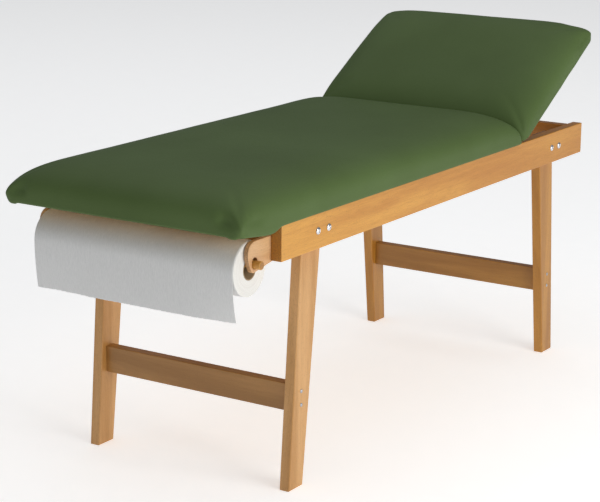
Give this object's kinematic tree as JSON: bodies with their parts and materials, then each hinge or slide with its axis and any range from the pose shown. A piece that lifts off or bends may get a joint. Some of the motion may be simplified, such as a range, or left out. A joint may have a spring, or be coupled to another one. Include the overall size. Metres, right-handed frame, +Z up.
{
  "type": "examination couch",
  "caption": "Wooden examination couch with green vinyl upholstery, a hinged headrest on a toothed prop, and a paper roll on a dowel under the foot end.",
  "frame": {"origin": "on the floor, under the middle of the couch's box", "axes": "+X from the foot end to the head end, +Y to the left seen from the foot end, +Z up"},
  "size_m": [1.902, 0.722, 1.0122],
  "materials": {
    "beech": "clear satin lacquer on honey beech",
    "bracket_beech": "clear satin lacquer on pale beech",
    "dowel_wood": "clear lacquer on a turned beech dowel",
    "plywood": "bare birch plywood",
    "vinyl": "matt olive green vinyl upholstery",
    "paper": "white creped paper",
    "cardboard": "grey-brown wound cardboard",
    "chrome": "polished chrome",
    "zinc": "zinc-plated",
    "steel": "plain steel"
  },
  "bodies": {
    "frame": {"side_rail_right": "beech", "side_rail_left": "beech", "cross_rail_foot": "beech", "cross_rail_hinge": "beech", "cross_rail_head": "beech", "leg_foot_right": "beech", "leg_foot_left": "beech", "leg_head_right": "beech", "leg_head_left": "beech", "stretcher_foot": "beech", "stretcher_head": "beech", "leg_bolt_foot_1_right": "chrome", "leg_bolt_foot_2_right": "chrome", "leg_bolt_head_1_right": "chrome", "leg_bolt_head_2_right": "chrome", "leg_bolt_foot_1_left": "chrome", "leg_bolt_foot_2_left": "chrome", "leg_bolt_head_1_left": "chrome", "leg_bolt_head_2_left": "chrome", "stretcher_screw_foot_right_1": "zinc", "stretcher_screw_foot_right_2": "zinc", "stretcher_screw_foot_left_1": "zinc", "stretcher_screw_foot_left_2": "zinc", "stretcher_screw_head_right_1": "zinc", "stretcher_screw_head_right_2": "zinc", "stretcher_screw_head_left_1": "zinc", "stretcher_screw_head_left_2": "zinc", "roll_bracket_right": "bracket_beech", "bracket_screw_right_1": "zinc", "bracket_screw_right_2": "zinc", "roll_bracket_left": "bracket_beech", "bracket_screw_left_1": "zinc", "bracket_screw_left_2": "zinc", "roll_dowel": "dowel_wood", "hinge_leaf_seat_right": "steel", "hinge_pin_right": "steel", "prop_rack_right": "beech", "hinge_leaf_seat_left": "steel", "hinge_pin_left": "steel", "prop_rack_left": "beech", "seat_board": "plywood", "seat_pad": "vinyl"},
    "headrest": {"headrest_board": "plywood", "headrest_pad": "vinyl", "hinge_leaf_head_right": "steel", "prop_pivot_block_right": "beech", "hinge_leaf_head_left": "steel", "prop_pivot_block_left": "beech"},
    "prop": {"prop_arm_right": "beech", "prop_arm_left": "beech", "prop_foot_bar": "dowel_wood", "prop_pivot_rod": "steel"},
    "roll": {"paper_roll": "paper", "paper_core": "cardboard"},
    "sheet": {"paper_sheet": "paper"}
  },
  "joints": [
    {"name": "headrest_hinge", "type": "hinge", "parent": "frame", "child": "headrest", "pos_m": [0.50203, 0, 0.706], "axis": [0, -1, 0], "range_deg": [-30, 15]},
    {"name": "prop_hinge", "type": "hinge", "parent": "headrest", "child": "prop", "pos_m": [0.63797, 0, 0.76939], "axis": [0, -1, 0], "range_deg": [-31, 61]},
    {"name": "paper_pull", "type": "slide", "parent": "frame", "child": "sheet", "axis": [0, 0, -1], "range_m": [0, 0.15]},
    {"name": "roll_spin", "type": "hinge", "parent": "frame", "child": "roll", "pos_m": [-0.83578, 0, 0.6091], "axis": [0, -1, 0], "range_deg": [-1, 127]}
  ],
  "couplings": [
    {"joint": "prop_hinge", "follows": "headrest_hinge", "ratio": -2},
    {"joint": "roll_spin", "follows": "paper_pull", "rad_per_m": 14.6}
  ]
}
